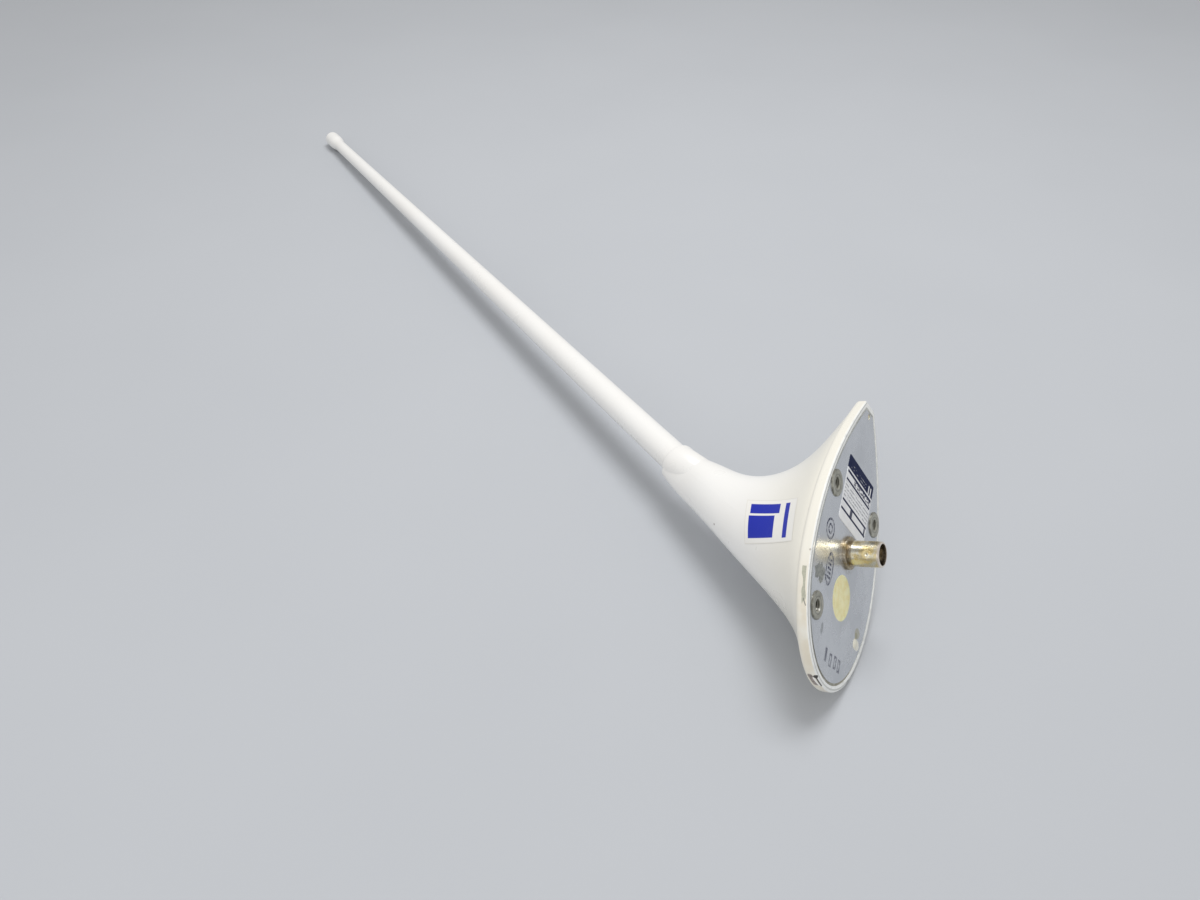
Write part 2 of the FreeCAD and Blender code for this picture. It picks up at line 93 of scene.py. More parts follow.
# Rounded end of the flare's collar, on the whip's leaning axis; stations are mm along that axis
rake = math.radians(36.45)
axis_foot = 22.8
collar_start = 76.0
collar_straight = 101.0
collar_drift = 0.12
collar_end = 104.5
collar_radius = 8.1
collar_inner_radius = 6.4
collar_round = 1.25
collar_steps = 72

# Threads of the inserts, in mm: a ridge that stands in from the bore's wall and climbs one pitch each turn
insert_nodes = ("insert_aft_port", "insert_aft_starboard", "insert_fore_port")
thread_radius = 2.05
thread_depth = 0.22
thread_flank = 0.252
thread_crest = 0.108
thread_start = 0.35
thread_pitch = 0.8
thread_turns = 4
thread_steps = 24

# Marks on the base plate and its parts, and one painted glint, in mm along x and y
stroke_places = ((40.4, 6.3), (41.2, 1.6), (40.9, -3.0), (41.3, -6.8))
oval_centre = (11.4, 14.9)
oval_strokes = (-3.2, -1.6, 0.0, 1.6, 3.2)
ring_centre = (-2.2, 19.6)
blotch_centre = (15.4, 22.6)
smudge_centre = (32.8, 13.3)
fore_vent_centre = (25.0, -20.3)
fore_blob_centre = (29.3, -20.9)
# Middle of a painted glint on the fore port insert
insert_glint_centre = (27.9, 18.9)
ink = (0.012, 0.018, 0.060)

# Jack, in mm: its middle, and its foot, mouth and bore as the painted shadow at its foot, its bright mouth
# and the painted shade in its bore meet them
jack_centre = (0.0, 0.0)
jack_foot = -1.9
jack_mouth = -12.7
jack_bore = 4.1

# Outline of the base, in mm: its widest place, half width, and reach fore and aft of that place
widest_station = 9.0
half_width = 32.5
nose_reach = 42.8
tail_reach = 70.9
tail_half_width = 4.6
lip_line_inset = 0.75

# Damage, in mm: a gouge at the front with bright metal in it, a nick, two specks, and on the port wall a
# scratch and a patch rubbed bare, which narrows at its waist and ends in a slant
gouge_outer = ((49.4, 10.7, 2.7), (51.1, 6.0, 2.0))
gouge_inner = ((49.6, 10.4, 0.7), (51.4, 4.8, 0.4))
gouge_metal = ((50.0, 9.7, 1.7), (51.3, 5.4, 1.0))
rim_nick = (44.2, -18.0, 0.4)
flare_speck = (-7.1, 7.1, 54.8)
rim_speck = (10.6, 32.4, 0.6)
port_scratch = ((27.2, 29.1, 1.6), (29.4, 28.4, 0.8))
patch_top = 2.75
patch_bottom = 1.05
patch_waist = 22.0
patch_aft = 16.2
patch_slant = 27.0

# Label, as it lies on the plate, with its rules and rows of print in mm from its aft edge
label_centre = (-21.1, -0.3)
label_turn = math.radians(4.5)
label_length = 26.4
label_width = 27.6
heading_end = 5.6
heading_rule = 6.7
label_rules = (10.0, 18.5, 22.0)
row_pitch = 1.45


class Value:
    """A socket that carries a number or a colour over the surface; numbers can be reckoned with."""

    def __init__(self, finish, socket):
        self.finish = finish
        self.socket = socket

    def math(self, operation, *others):
        return self.finish.node("ShaderNodeMath", {"operation": operation}, self, *others)

    def __add__(self, other):
        return self.math("ADD", other)

    __radd__ = __add__

    def __mul__(self, other):
        return self.math("MULTIPLY", other)

    __rmul__ = __mul__

    def __sub__(self, other):
        return self.math("SUBTRACT", other)

    def __rsub__(self, other):
        return self * -1.0 + other

    def __truediv__(self, other):
        return self.math("DIVIDE", other)

    def size(self):
        return self.math("ABSOLUTE")

    def least(self, other):
        return self.math("MINIMUM", other)

    def most(self, other):
        return self.math("MAXIMUM", other)

    def rise(self, low, high):
        """0 below low, 1 above high, and smooth between; with low above high it falls."""
        ends = (low, high, 0.0, 1.0) if low < high else (high, low, 1.0, 0.0)
        return self.finish.node("ShaderNodeMapRange", {"interpolation_type": "SMOOTHSTEP"}, self, *ends)


class Finish:
    """A material in the making: one shader, and the nodes that vary it."""

    def __init__(self, name, colour, roughness, metallic=0.0, **constants):
        self.material = bpy.data.materials.new(name)
        self.material.use_nodes = True
        self.material.diffuse_color = (*colour, 1.0)
        self.tree = self.material.node_tree
        self.tree.nodes.clear()
        self.shader = self.tree.nodes.new("ShaderNodeBsdfPrincipled")
        self.output = self.tree.nodes.new("ShaderNodeOutputMaterial")
        self.show(self.shader.outputs["BSDF"])
        self.feed("Base Color", colour)
        self.feed("Roughness", roughness)
        self.feed("Metallic", metallic)
        for socket, value in constants.items():
            self.feed(socket.replace("_", " "), value)
        self.place = self.node("ShaderNodeTexCoord", {}, output="Object")

    def show(self, surface):
        self.fill(self.output.inputs["Surface"], surface)

    def feed(self, socket, value):
        self.fill(self.shader.inputs[socket], value)

    def fill(self, socket, value):
        """Links a socket, or sets what it holds; None leaves it alone."""
        if isinstance(value, Value):
            value = value.socket
        if isinstance(value, bpy.types.NodeSocket):
            self.tree.links.new(value, socket)
        elif isinstance(value, tuple) and len(value) == 3 and socket.type == "RGBA":
            socket.default_value = (*value, 1.0)
        elif value is not None:
            socket.default_value = value

    def node(self, kind, settings, *inputs, output=0, **named):
        """Any node: its settings first, then what its sockets hold or are linked to."""
        made = self.tree.nodes.new(kind)
        for setting, value in settings.items():
            setattr(made, setting, value)
        for socket, value in zip(made.inputs, inputs):
            self.fill(socket, value)
        for socket, value in named.items():
            self.fill(made.inputs[socket.replace("_", " ")], value)
        return Value(self, made.outputs[output])

    def mix(self, share, first, second):
        """A colour between two, by a share from 0 to 1. The node keeps its colours in sockets 6 and 7."""
        unused = [None] * 5
        return self.node("ShaderNodeMix", {"data_type": "RGBA"}, share, *unused, first, second, output=2)

    def noise(self, size_mm, detail=3.0, roughness=0.55, place=None):
        """Cloudy value about 0.5, with blots of about this size."""
        return self.node("ShaderNodeTexNoise", {}, Vector=place or self.place, Scale=1.0 / (size_mm * MM),
                         Detail=detail, Roughness=roughness)

    def stretched(self, along, factor):
        """Object place squeezed along one axis, so that noise on it is drawn out along that axis."""
        scale = [1.0, 1.0, 1.0]
        scale["xyz".index(along)] = 1.0 / factor
        return self.node("ShaderNodeMapping", {}, Vector=self.place, Scale=tuple(scale))

    def parts(self, vector):
        """The three numbers of a vector."""
        outputs = self.node("ShaderNodeSeparateXYZ", {}, vector).socket.node.outputs
        return [Value(self, outputs[k]) for k in range(3)]

    def millimetres(self):
        """x, y and z over the surface, in mm."""
        return [part * (1.0 / MM) for part in self.parts(self.place)]

    def bump(self, height, depth_mm, strength=1.0):
        normal = self.node("ShaderNodeBump", {}, Strength=strength, Distance=depth_mm * MM, Height=height)
        self.feed("Normal", normal)


def shaded(colour, share):
    """A colour made darker."""
    return tuple(part * share for part in colour)


def join(first, *others):
    """1 wherever one of these masks is 1."""
    for other in others:
        first = first.most(other)
    return first


def length(*steps):
    """Length of the way that these steps along the axes make."""
    total = steps[0] * steps[0]
    for step in steps[1:]:
        total = total + step * step
    return total.math("SQRT")


def reach(x, y, centre, stretch=1.0):
    """Distance from a point on a plane, with y stretched."""
    return length(x - centre[0], (y - centre[1]) * stretch)


def reach_in_space(x, y, z, centre):
    """Distance from a point in space."""
    return length(x - centre[0], y - centre[1], z - centre[2])


def reach_to_line(x, y, z, ends):
    """Distance from a straight line in space between two ends."""
    start, end = Vector(ends[0]), Vector(ends[1])
    unit = (end - start).normalized()
    dx, dy, dz = x - start.x, y - start.y, z - start.z
    along = (dx * unit.x + dy * unit.y + dz * unit.z).most(0.0).least((end - start).length)
    return length(dx - along * unit.x, dy - along * unit.y, dz - along * unit.z)


def inset_from_rim(x, y):
    """About how far a point of the underside lies inside the outline of the base, in mm."""
    nose = (x - widest_station).most(0.0) / nose_reach
    tail = (x * -1.0 + widest_station).most(0.0) / tail_reach
    across = y.size()
    round_end = (1.0 - (nose * nose + across * across / half_width ** 2).math("SQRT")) * half_width
    side = tail * tail * (tail_half_width - half_width) + half_width - across
    slope = tail * (2.0 * (half_width - tail_half_width) / tail_reach)
    side = side / (slope * slope + 1.0).math("SQRT")
    return round_end + (side - round_end) * x.rise(widest_station + 0.5, widest_station - 0.5)


def stripe(value, centre, half, soft=0.15):
    """1 where a value is near its centre, 0 elsewhere: a line, or a ring where the value is a distance."""
    return (value - centre).size().rise(half + soft, half - soft)


def bar(x, y, centre, half_x, half_y, soft=0.15):
    """1 inside a rectangle, 0 outside."""
    return stripe(x, centre[0], half_x, soft) * stripe(y, centre[1], half_y, soft)


def enamel(name):
    """Gloss white enamel, a little clouded, with fine dust in it, and the colour and grain that it has."""
    paint = Finish(name, (0.87, 0.86, 0.84), 0.25, Coat_Weight=0.25, Coat_Roughness=0.12)
    cloud = paint.noise(45.0)
    colour = paint.mix(cloud.rise(0.35, 0.75), (0.875, 0.87, 0.85), (0.86, 0.845, 0.815))
    specks = paint.noise(1.3, 1.0).rise(0.80, 0.83)
    colour = paint.mix(specks * 0.2, colour, (0.45, 0.40, 0.33))
    paint.feed("Roughness", paint.noise(18.0) * 0.20 + 0.20)
    grain = paint.noise(0.9, 2.0) + paint.noise(14.0)
    return paint, colour, grain


def whole_paint():
    """The enamel of the whip, which nothing has touched."""
    paint, colour, grain = enamel("paint_of_the_whip")
    paint.feed("Base Color", colour)
    paint.bump(grain, 0.015, 0.4)
    return paint.material


def chipped_paint():
    """The same enamel, creamier low on the flare, with painted shade at the foot of the port wall, rubbed
    grey on the port wall and gouged at the front.
    """
    paint, colour, grain = enamel("paint_of_the_flare")
    x, y, z = paint.millimetres()
    fine = paint.noise(0.7, 2.0)
    ragged = (paint.noise(2.0, 2.0, 0.6) - 0.5) * 1.2

    low = z.rise(44.0, 6.0)
    colour = paint.mix(low * 0.8, colour, (0.85, 0.82, 0.72))
    # Painted shade: a brownish tint at the foot of the port wall, near the rim
    foot = z.rise(6.5, 1.5) * x.rise(8.0, 34.0) * y.rise(-6.0, 6.0)
    colour = paint.mix(foot * paint.noise(7.0).rise(0.2, 0.6), colour, (0.78, 0.72, 0.59))

    lip = z.rise(0.6, 0.3)
    colour = paint.mix(lip, colour, (0.87, 0.88, 0.86))
    worn_lip = lip * paint.noise(3.0, 3.0).rise(0.50, 0.66)
    lip_line = stripe(inset_from_rim(x, y) + ragged * 0.2, lip_line_inset, 0.25, 0.07) * lip
    colour = paint.mix((lip_line * 0.75).most(worn_lip * 0.25), colour, (0.44, 0.45, 0.43))

    waist = stripe(x, patch_waist, 2.1, 1.5)
    flared = x.rise(23.5, 26.6)
    top = patch_top - waist * 0.70 - flared * 0.40 + ragged * 0.20
    bottom = patch_bottom - flared * 0.40 + ragged * 0.15
    bared = (top - z).rise(0.0, 0.15) * (z - bottom).rise(0.0, 0.15) * y.rise(20.0, 22.0)
    bared = bared * (x + ragged * 0.5).rise(patch_aft, patch_aft + 0.4)
    bared = bared * (x - z + ragged).rise(patch_slant, patch_slant - 0.8)
    bare_colour = paint.mix(fine.rise(0.4, 0.7), (0.50, 0.50, 0.40), (0.42, 0.42, 0.34))
    colour = paint.mix(bared, colour, bare_colour)
    scratch = reach_to_line(x, y, z, port_scratch).rise(0.28, 0.12)
    colour = paint.mix(scratch * 0.8, colour, (0.16, 0.16, 0.14))

    specks = reach_in_space(x, y, z, flare_speck).rise(0.65, 0.25)
    specks = specks.most(reach_in_space(x, y, z, rim_speck).rise(0.55, 0.25) * 0.7)
    colour = paint.mix(specks * 0.65, colour, (0.16, 0.10, 0.08))

    outer = (reach_to_line(x, y, z, gouge_outer) + ragged * 0.3).rise(1.2, 0.7)
    inner = (reach_to_line(x, y, z, gouge_inner) + ragged * 0.1).rise(0.38, 0.16)
    inner = inner.most((reach_in_space(x, y, z, gouge_inner[0]) + ragged * 0.4).rise(1.0, 0.75))
    nick = (reach_in_space(x, y, z, rim_nick) + ragged).rise(1.1, 0.9)
    torn_colour = paint.mix(fine.rise(0.40, 0.60), (0.13, 0.10, 0.09), (0.30, 0.25, 0.23))
    colour = paint.mix(outer * 0.9, colour, torn_colour)
    colour = paint.mix(inner.most(nick * 0.6), colour, (0.035, 0.03, 0.025))
    bright = (reach_to_line(x, y, z, gouge_metal) + ragged * 0.1).rise(0.50, 0.34)
    colour = paint.mix(bright, colour, (0.90, 0.88, 0.84))

    paint.feed("Base Color", colour)
    cut = outer.most(inner) * 12.0 + bared * 4.0 + scratch * 4.0 + lip_line * 8.0
    paint.bump(grain + worn_lip - cut, 0.015, 0.4)
    return paint.material


def plate_metal():
    """Smooth grey aluminium of the underside, with its stamps, hand marks and stains."""
    plate = Finish("plate_aluminium", (0.60, 0.62, 0.65), 0.30, 0.75)
    x, y, _ = plate.millimetres()
    cloud = plate.noise(16.0)
    fine = plate.noise(1.4, 3.0, 0.6)
    colour = plate.mix(cloud.rise(0.3, 0.75), (0.63, 0.65, 0.68), (0.55, 0.57, 0.60))
    soiled = plate.noise(9.0, 3.0, 0.6).rise(0.55, 0.75)
    colour = plate.mix(soiled * 0.2, colour, (0.47, 0.47, 0.45))

    blotch = reach(x, y, blotch_centre, 0.75) / 3.4 + (plate.noise(2.4, 3.0) - 0.5) * 2.2
    blotch = blotch.rise(1.15, 0.85)
    mottled = plate.mix(fine.rise(0.40, 0.60), (0.10, 0.11, 0.10), (0.24, 0.25, 0.22))
    colour = plate.mix(blotch * 0.85, colour, mottled)
    smudge = reach(x, y, smudge_centre, 1.7) / 2.2 + (fine - 0.5) * 1.5
    colour = plate.mix(smudge.rise(1.1, 0.6) * 0.6, colour, (0.22, 0.23, 0.23))

    oval = reach(x, y, oval_centre, 1.9)
    circle = reach(x, y, ring_centre)
    strokes = [bar(x, y, (oval_centre[0] + step, oval_centre[1]), 0.50, 1.7, 0.2) for step in oval_strokes]
    stamps = join(stripe(oval, 5.6, 0.7, 0.2), *strokes, stripe(circle, 3.5, 0.45), stripe(circle, 1.6, 0.45))
    worn = (fine + plate.noise(5.0) * 0.4).rise(0.62, 0.78)
    stamps = stamps * (1.0 - worn * 0.6)
    colour = plate.mix(stamps, colour, ink)

    hollow = [bar(x, y, centre, 2.4, 1.25) * (1.0 - bar(x, y, centre, 1.5, 0.45))
              for centre in stroke_places[1:]]
    marks = join(bar(x, y, stroke_places[0], 2.5, 1.0, 0.3), *hollow)
    marks = marks * (1.0 - worn * 0.4)
    colour = plate.mix(marks * 0.85, colour, ink)

    stain = reach(x, y, jack_centre).rise(9.0, 6.3) * plate.noise(1.8).rise(0.4, 0.6)
    colour = plate.mix(stain * 0.45, colour, (0.30, 0.24, 0.16))
    halo = (reach(x, y, fore_vent_centre, 0.8) + (fine - 0.5) * 1.2).rise(2.3, 1.7)
    colour = plate.mix(halo * 0.7, colour, (0.36, 0.35, 0.26))
    smear = (reach(x, y, fore_blob_centre, 0.7) + (fine - 0.5) * 1.0).rise(2.2, 1.9)
    colour = plate.mix(smear * 0.9, colour, (0.80, 0.79, 0.70))

    plate.feed("Base Color", colour)
    printed = join(stamps, marks, blotch, halo, smear)
    plate.feed("Roughness", cloud * 0.10 + soiled * 0.08 + printed * 0.25 + 0.22)
    plate.feed("Metallic", 0.75 - printed * 0.75)
    plate.bump(smear * 3.0 + blotch, 0.012, 0.3)
    return plate.material


def label_foil():
    """Silvered foil with a dark heading at its aft edge, rules across it and rows of small print."""
    foil = Finish("label_foil", (0.80, 0.81, 0.82), 0.5, 0.15, Specular_IOR_Level=0.06)
    x, y, _ = foil.millimetres()
    cos, sin = math.cos(label_turn), math.sin(label_turn)
    along = (x - label_centre[0]) * cos + (y - label_centre[1]) * sin + label_length / 2
    across = (y - label_centre[1]) * cos - (x - label_centre[0]) * sin + label_width / 2
    inside = across.rise(0.4, 0.7) * across.rise(label_width - 0.4, label_width - 0.7)
    words = foil.noise(0.7, 1.0, place=foil.stretched("y", 2.2))

    heading = along.rise(heading_end, heading_end - 0.3)
    light_rows = stripe(along, 2.9, 0.18, 0.06).most(stripe(along, 4.2, 0.20, 0.06))
    light_rows = light_rows * across.rise(6.5, 7.0) * across.rise(25.0, 24.0) * words.rise(0.50, 0.58)
    light_bars = bar(along, across, (3.6, 4.6), 1.8, 0.50).most(bar(along, across, (3.6, 2.4), 1.8, 0.50))

    rules = [stripe(along, rule, 0.44, 0.08) for rule in label_rules]
    rules = join(stripe(along, heading_rule, 0.54, 0.08), *rules)
    blocks = bar(along, across, (20.2, 17.0), 1.6, 1.2).most(bar(along, across, (20.6, 1.8), 1.5, 0.7))
    entries = stripe(along, 8.2, 1.0, 0.1) * across.rise(20.0, 19.0) * words.rise(0.44, 0.50)
    rows = stripe(along.math("MODULO", row_pitch), 0.72, 0.34, 0.08)
    small_print = rows * words.rise(0.38, 0.48) * along.rise(10.8, 11.2) * along.rise(17.9, 17.5)

    dark = join(rules, blocks * 0.9, entries * 0.85, small_print * 0.45) * inside
    dark = dark.most(heading - light_rows * 0.45 - light_bars * 0.95)
    faded = foil.noise(6.0).rise(0.35, 0.75)
    silver = foil.mix(faded, (0.84, 0.85, 0.86), (0.76, 0.77, 0.79))
    foil.feed("Base Color", foil.mix(dark, silver, ink))
    foil.feed("Metallic", 0.15 - dark * 0.15)
    foil.feed("Roughness", faded * 0.12 + 0.50)
    foil.bump(foil.noise(3.0) + dark * 0.3, 0.02, 0.3)
    return foil.material


def film_print():
    """Clear film gone slightly grey at its edge, with its plain blue device."""
    film = Finish("flare_film", (0.80, 0.785, 0.75), 0.3, Coat_Weight=0.1, Coat_Roughness=0.12,
                  Specular_IOR_Level=0.25)
    across, along, _ = film.parts(film.node("ShaderNodeUVMap", {"uv_map": "film"}))
    across = across * film_width
    along = along * film_length
    edge = across.least(film_width - across).least(along).least(film_length - along)
    colour = film.mix(edge.rise(0.45, 0.2) * 0.35, (0.865, 0.85, 0.81), (0.62, 0.595, 0.50))
    blue = join(*[bar(across, along, *block, 0.12) for block in film_blocks])
    blue = blue * (1.0 - film.noise(0.4, 2.0).rise(0.74, 0.80) * 0.3)
    film.feed("Base Color", film.mix(blue, colour, (0.010, 0.024, 0.40)))
    film.bump(film.noise(2.0), 0.01, 0.4)
    return film.material


def jack_plating():
    """Nickel worn through to yellow brass, stained here and there, bright at the mouth, with painted shadow
    at its foot and painted shade in its bore.
    """
    metal = Finish("jack_plating", (0.78, 0.70, 0.48), 0.26, 1.0)
    x, y, z = metal.millimetres()
    cloud = metal.noise(3.2, 3.0, 0.6)
    fine = metal.noise(0.5, 3.0)
    colour = metal.mix(cloud.rise(0.38, 0.60), (0.80, 0.76, 0.62), (0.76, 0.62, 0.32))
    stain = (cloud + fine * 0.5).rise(0.90, 1.02)
    # Painted shadow: dark brown at the jack's foot, where it meets the plate, mixed in below with the real
    # stains
    foot = z.rise(jack_foot - 1.5, jack_foot) * fine.rise(0.20, 0.50)
    colour = metal.mix((stain * 0.5).most(foot * 0.7), colour, (0.16, 0.11, 0.07))
    mouth = z.rise(jack_mouth + 0.7, jack_mouth)
    colour = metal.mix(mouth * 0.85, colour, (0.86, 0.78, 0.70))
    # Painted shade inside the bore, beyond the mouth
    bore = reach(x, y, jack_centre).rise(jack_bore + 0.3, jack_bore)
    bore = bore * z.rise(jack_mouth - 0.2, jack_mouth + 0.4)
    colour = metal.mix(bore * 0.8, colour, (0.22, 0.17, 0.12))
    metal.feed("Base Color", colour)
    metal.feed("Roughness", cloud * 0.16 + stain * 0.2 + foot * 0.15 + 0.16)
    metal.bump(cloud * 2.0 + fine, 0.010, 0.3)
    return metal.material


def bore_foot(node):
    """Middle of an insert's bore, at the insert's lowest level."""
    low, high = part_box(node)
    return Vector(((low[0] + high[0]) / 2, (low[1] + high[1]) / 2, low[2]))


def insert_steel():
    """Dull olive-grey steel, with a turned ring round the bore, painted glints, painted shade down the bore
    and a patchy ring of painted shade at the rim.
    """
    steel = Finish("insert_steel", (0.36, 0.35, 0.31), 0.42, 0.6)
    x, y, z = steel.millimetres()
    cloud = steel.noise(2.0, 4.0, 0.65)
    fine = steel.noise(0.4, 2.0)
    colour = steel.mix(cloud.rise(0.35, 0.7), (0.43, 0.425, 0.36), (0.29, 0.285, 0.24))
    # Painted glints: light flecks scattered over the steel
    colour = steel.mix(fine.rise(0.62, 0.75) * 0.4, colour, (0.56, 0.54, 0.50))
    reaches = [reach(x, y, bore_foot(node) / MM) for node in insert_nodes]
    rings = join(*[stripe(far, 3.1, 0.20) for far in reaches])
    # Painted shade: a patchy dark ring at each insert's rim, where it stands proud of the plate
    rim_shade = join(*[far.rise(4.3, 5.0) * far.rise(5.6, 5.3) for far in reaches])
    rim_shade = rim_shade * cloud.rise(0.3, 0.6)
    colour = steel.mix((rings * 0.6).most(rim_shade * 0.6), colour, (0.10, 0.095, 0.08))
    # Painted shade down the bore, above the insert's face
    inside = z.rise(-0.45, 0.3)
    colour = steel.mix(inside * 0.6, colour, (0.12, 0.115, 0.10))
    # Painted highlight: a near-white glint at one spot on the fore port insert
    insert_glint = reach(x, y, insert_glint_centre).rise(0.60, 0.35)
    colour = steel.mix(insert_glint, colour, (0.92, 0.91, 0.84))
    steel.feed("Base Color", colour)
    steel.feed("Roughness", cloud * 0.3 + 0.25)
    steel.bump(cloud + fine * 0.5 - rings * 2.0, 0.02, 0.5)
    return steel.material


def resin(name, light, dark):
    """Cast resin, clouded and faintly pitted."""
    cast = Finish(name, light, 0.42, Subsurface_Weight=0.1, Subsurface_Scale=0.0008)
    cloud = cast.noise(4.0, 4.0, 0.6)
    pits = cast.noise(0.6, 1.0).rise(0.70, 0.76)
    colour = cast.mix(cloud.rise(0.35, 0.7), light, dark)
    colour = cast.mix(pits * 0.5, colour, shaded(dark, 0.55))
    cast.feed("Base Color", colour)
    cast.feed("Roughness", cloud * 0.25 + 0.3)
    cast.bump(cloud - pits, 0.05, 0.5)
    return cast.material


def vent_resin():
    """Olive fill of the fore vent, and the pale blob squeezed out beside it."""
    cast = Finish("vent_resin", (0.75, 0.70, 0.52), 0.4)
    x, y, _ = cast.millimetres()
    blob = x.rise(27.2, 27.7)
    cloud = cast.noise(1.5, 3.0)
    olive = cast.mix(y.rise(-20.2, -20.9), (0.34, 0.33, 0.23), (0.07, 0.065, 0.05))
    cream = cast.mix(cloud, (0.84, 0.83, 0.75), (0.72, 0.69, 0.55))
    cast.feed("Base Color", cast.mix(blob, olive, cream))
    cast.bump(cloud, 0.08, 0.6)
    return cast.material


def sealant_bead():
    """Pale bead round the plate, gone olive and brown at the front."""
    bead = Finish("sealant", (0.66, 0.67, 0.62), 0.4)
    x, _, _ = bead.millimetres()
    cloud = bead.noise(5.0)
    colour = bead.mix(cloud.rise(0.4, 0.7), (0.68, 0.69, 0.65), (0.48, 0.48, 0.42))
    front = x.rise(34.0, 42.0) * cloud.rise(0.2, 0.5)
    colour = bead.mix(front * 0.8, colour, (0.24, 0.22, 0.15))
    bead.feed("Base Color", colour)
    bead.bump(bead.noise(1.5, 2.0), 0.06, 0.6)
    return bead.material


def plain_metal(name, colour, roughness, shade=0.7):
    """Turned or drawn metal, with faint streaks and a clouded polish."""
    metal = Finish(name, colour, roughness, 1.0)
    cloud = metal.noise(3.0, 3.0)
    streaks = metal.noise(0.4, 2.0, place=metal.stretched("z", 12.0))
    metal.feed("Base Color", metal.mix(cloud.rise(0.35, 0.75), colour, shaded(colour, shade)))
    metal.feed("Roughness", streaks * 0.2 + roughness - 0.1)
    metal.bump(streaks, 0.01, 0.4)
    return metal.material


def plain_moulding(name, colour, roughness, grain_mm, shade=0.85):
    """Moulded or cut plastic, rubber or foam, with a grain of this size."""
    moulding = Finish(name, colour, roughness)
    cloud = moulding.noise(grain_mm * 8.0)
    grain = moulding.noise(grain_mm, 2.0)
    moulding.feed("Base Color", moulding.mix(cloud.rise(0.3, 0.75), colour, shaded(colour, shade)))
    moulding.feed("Roughness", grain * 0.2 + roughness - 0.1)
    moulding.bump(grain, grain_mm * 0.05, 0.6)
    return moulding.material


def table_top():
    """Pale matt surface, clear when seen from below, so that it never hides the antenna."""
    top = Finish("table_top", (0.50, 0.53, 0.57), 0.85)
    cloud = top.noise(160.0, 2.0)
    top.feed("Base Color", top.mix(cloud, (0.50, 0.52, 0.55), (0.47, 0.49, 0.52)))
    clear = top.node("ShaderNodeBsdfTransparent", {})
    below = top.node("ShaderNodeNewGeometry", {}, output="Backfacing")
    top.show(top.node("ShaderNodeMixShader", {}, below, top.shader.outputs["BSDF"], clear))
    return top.material


def dress(material, *nodes):
    """Gives a finish to nodes of the solids."""
    for node in nodes:
        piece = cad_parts[node]
        piece.data.materials.clear()
        piece.data.materials.append(material)


def make_mesh(name, form, material):
    mesh = bpy.data.meshes.new(name)
    form.to_mesh(mesh)
    form.free()
    mesh.materials.append(material)
    return mesh


def finish_piece(name, form, material, smooth=False):
    """Makes a bmesh a piece that rides with the antenna."""
    bmesh.ops.recalc_face_normals(form, faces=form.faces)
    mesh = make_mesh(name, form, material)
    for polygon in mesh.polygons:
        polygon.use_smooth = smooth
    piece = bpy.data.objects.new(name, mesh)
    bpy.context.scene.collection.objects.link(piece)
    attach(piece, "root")


def lay_film(material):
    """The film is a grid laid onto the flare from port, so it takes the flare's curve."""
    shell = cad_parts["radome_shell"]
    form = bmesh.new()
    uv = form.loops.layers.uv.new("film")
    bmesh.ops.create_grid(form, x_segments=film_steps, y_segments=film_steps, size=1.0)
    for face in form.faces:
        for loop in face.loops:
            loop[uv].uv = ((loop.vert.co.x + 1) / 2, (loop.vert.co.y + 1) / 2)
    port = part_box("radome_shell")[1][1] + 10 * MM
    for vert in form.verts:
        spot = film_centre + film_short * vert.co.x + film_long * vert.co.y
        start = Vector((spot.x * MM, port, spot.y * MM))
        _, place, normal, _ = shell.ray_cast(start, Vector((0, -1, 0)))
        vert.co = place + normal * film_thickness * MM
    finish_piece("flare_film", form, material, smooth=True)


def spin_profile(form, verts, **turns):
    """Joins these vertices in a closed profile and spins it."""
    edges = [form.edges.new(pair) for pair in zip(verts, verts[1:] + verts[:1])]
    bmesh.ops.spin(form, geom=verts + edges, **turns)


def round_collar(material):
    """The collar's end, closed all round the whip: a profile spun about the whip's axis."""
    low = collar_end - collar_round
    flat = collar_radius - collar_round
    profile = [(collar_inner_radius, collar_start), (collar_radius, collar_start)]
    profile.append((collar_radius, collar_straight))
    for turn in range(0, 91, 15):
        angle = math.radians(turn)
        profile.append((flat + collar_round * math.cos(angle), low + collar_round * math.sin(angle)))
    profile.append((collar_inner_radius, collar_end))
    lean = Vector((-math.sin(rake), 0, math.cos(rake)))
    side = Vector((math.cos(rake), 0, math.sin(rake)))
    foot = Vector((axis_foot, 0, 0))
    form = bmesh.new()
    verts = [form.verts.new((foot + side * radius + lean * station) * MM) for radius, station in profile]
    spin_profile(form, verts, cent=foot * MM, axis=lean, angle=2 * math.pi, steps=collar_steps,
                 use_merge=True)
    for vert in form.verts:
        below = collar_straight - (vert.co / MM - foot).dot(lean)
        vert.co -= side * max(below, 0.0) * collar_drift * MM
    finish_piece("collar_lip", form, material, smooth=True)


def cut_threads(material):
    """Threads inside the three inserts: one ridge profile screwed up each bore."""
    form = bmesh.new()
    crest = thread_radius - thread_depth
    ridge = [(thread_radius, 0.0), (crest, thread_flank), (crest, thread_flank + thread_crest),
             (thread_radius, 2 * thread_flank + thread_crest)]
    for node in insert_nodes:
        centre = bore_foot(node)
        verts = [form.verts.new(centre + Vector((radius, 0, thread_start + rise)) * MM)
                 for radius, rise in ridge]
        spin_profile(form, verts, cent=centre, axis=(0, 0, 1), angle=2 * math.pi * thread_turns,
                     steps=thread_steps * thread_turns, dvec=(0, 0, thread_pitch * MM / thread_steps))
    finish_piece("insert_threads", form, material)


def put(name, data, turn, place):
    """Adds an object to the scene, turned and placed."""
    thing = bpy.data.objects.new(name, data)
    thing.matrix_world = Matrix.Translation(place) @ turn.to_4x4()
    bpy.context.scene.collection.objects.link(thing)
    return thing


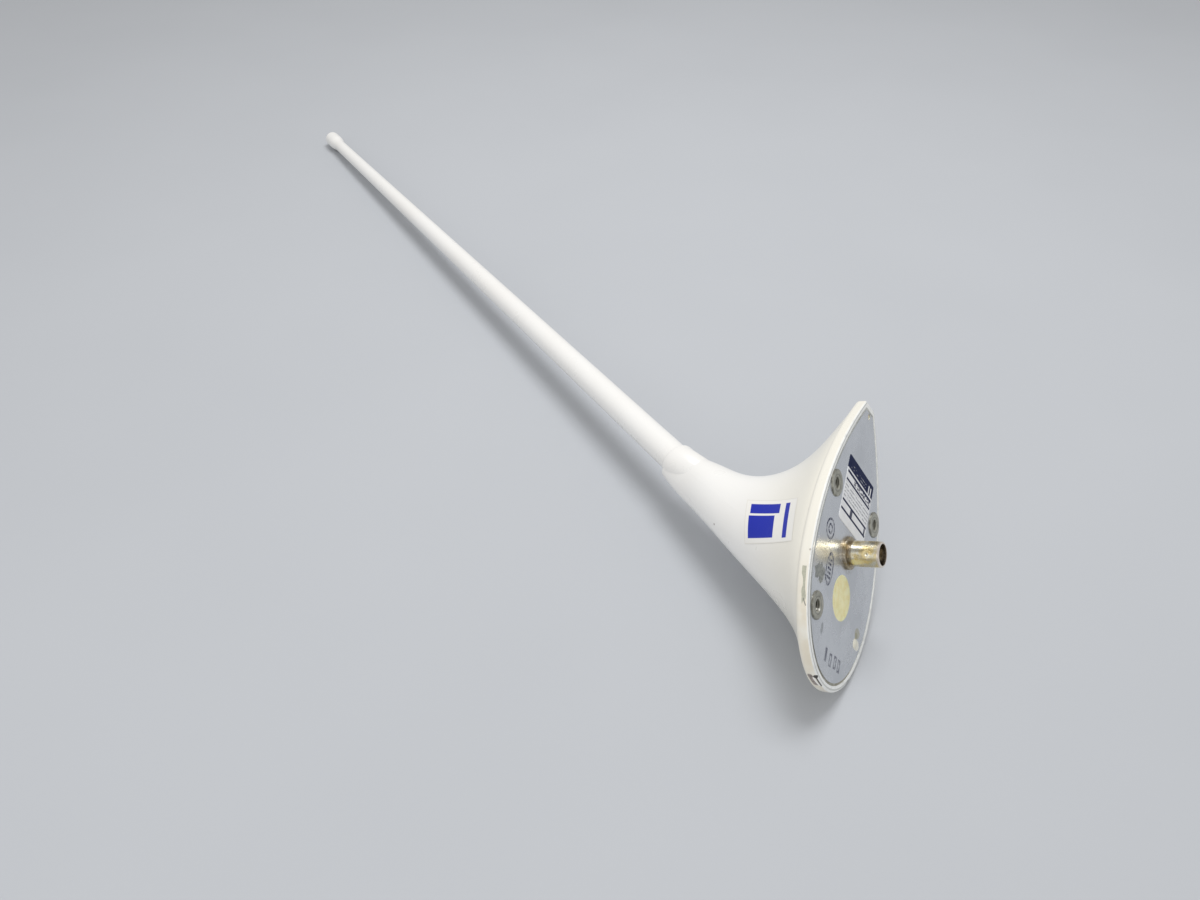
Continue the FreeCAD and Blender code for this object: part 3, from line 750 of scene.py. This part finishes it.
def lay_table():
    """A pale table just under the lowest points of the antenna, as it lies in the photograph."""
    lowest = min(table_up.dot(vert.co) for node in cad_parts.values() for vert in node.data.vertices)
    foot = middle + table_up * (lowest - table_gap * MM - table_up.dot(middle))
    form = bmesh.new()
    bmesh.ops.create_grid(form, x_segments=1, y_segments=1, size=table_half_side)
    turn = Matrix((right, away * -1, table_up)).transposed()
    put("table", make_mesh("table", form, table_top()), turn, foot)


def light_it():
    """Two soft lamps aimed at the antenna's middle, and an even sky."""
    for name, (above, rightward, beyond), size, watts in lamps:
        data = bpy.data.lights.new(name, "AREA")
        data.size = size
        data.energy = watts
        way = table_up * above + right * rightward + away * beyond
        put(name, data, (way * -1).to_track_quat("-Z", "Y").to_matrix(), middle + way)
    world = bpy.data.worlds.new("sky")
    bpy.context.scene.world = world
    world.use_nodes = True
    sky = world.node_tree.nodes["Background"]
    sky.inputs["Color"].default_value = (*sky_colour, 1.0)
    sky.inputs["Strength"].default_value = sky_strength
    bpy.context.scene.view_settings.view_transform = "Standard"


def place_camera():
    data = bpy.data.cameras.new("camera")
    data.lens = focal_length
    data.sensor_width = sensor_width
    data.clip_start = 0.01
    turn = Matrix((right, up, back)).transposed()
    bpy.context.scene.camera = put("camera", data, turn, camera_place)


flare_paint = chipped_paint()
steel = insert_steel()
four = range(1, 5)
dress(flare_paint, "radome_shell")
dress(whole_paint(), "whip_sleeve", "tip_cap")
dress(plate_metal(), "base_plate")
dress(label_foil(), "data_label")
dress(jack_plating(), "connector_body")
dress(steel, *insert_nodes)
dress(resin("plug_resin", (0.87, 0.83, 0.50), (0.80, 0.71, 0.34)), "potting_plug")
dress(vent_resin(), "vent_plug_fore")
dress(resin("vent_fill", (0.82, 0.80, 0.62), (0.52, 0.46, 0.33)), "vent_plug_aft")
dress(sealant_bead(), "edge_sealant")
dress(plain_moulding("filling", (0.80, 0.74, 0.52), 0.8, 0.6), "foam_core")
dress(plain_moulding("insulator", (0.86, 0.85, 0.81), 0.35, 0.3), "connector_insulator")
dress(plain_moulding("seal_rubber", (0.04, 0.04, 0.04), 0.6, 0.2), "connector_seal")
dress(plain_moulding("board_laminate", (0.06, 0.22, 0.09), 0.35, 0.5), "matching_board")
dress(plain_moulding("capacitor_dip", (0.50, 0.26, 0.08), 0.3, 0.4), "series_capacitor")
dress(plain_metal("contact_gold", (0.85, 0.64, 0.25), 0.25), "connector_contact")
dress(plain_metal("plated_steel", (0.62, 0.62, 0.60), 0.32), "lock_washer", "connector_nut")
dress(plain_metal("copper", (0.80, 0.42, 0.26), 0.28), "matching_coil", "feed_wire", "radiator_lead")
dress(plain_metal("rod_metal", (0.74, 0.74, 0.75), 0.35), "radiator_rod")
dress(plain_metal("standoff_brass", (0.74, 0.58, 0.28), 0.3), *["board_standoff_%d" % n for n in four])
dress(plain_metal("screw_steel", (0.62, 0.62, 0.63), 0.3), *["board_screw_%d" % n for n in four])

lay_film(film_print())
round_collar(flare_paint)
cut_threads(steel)
lay_table()
light_it()
place_camera()
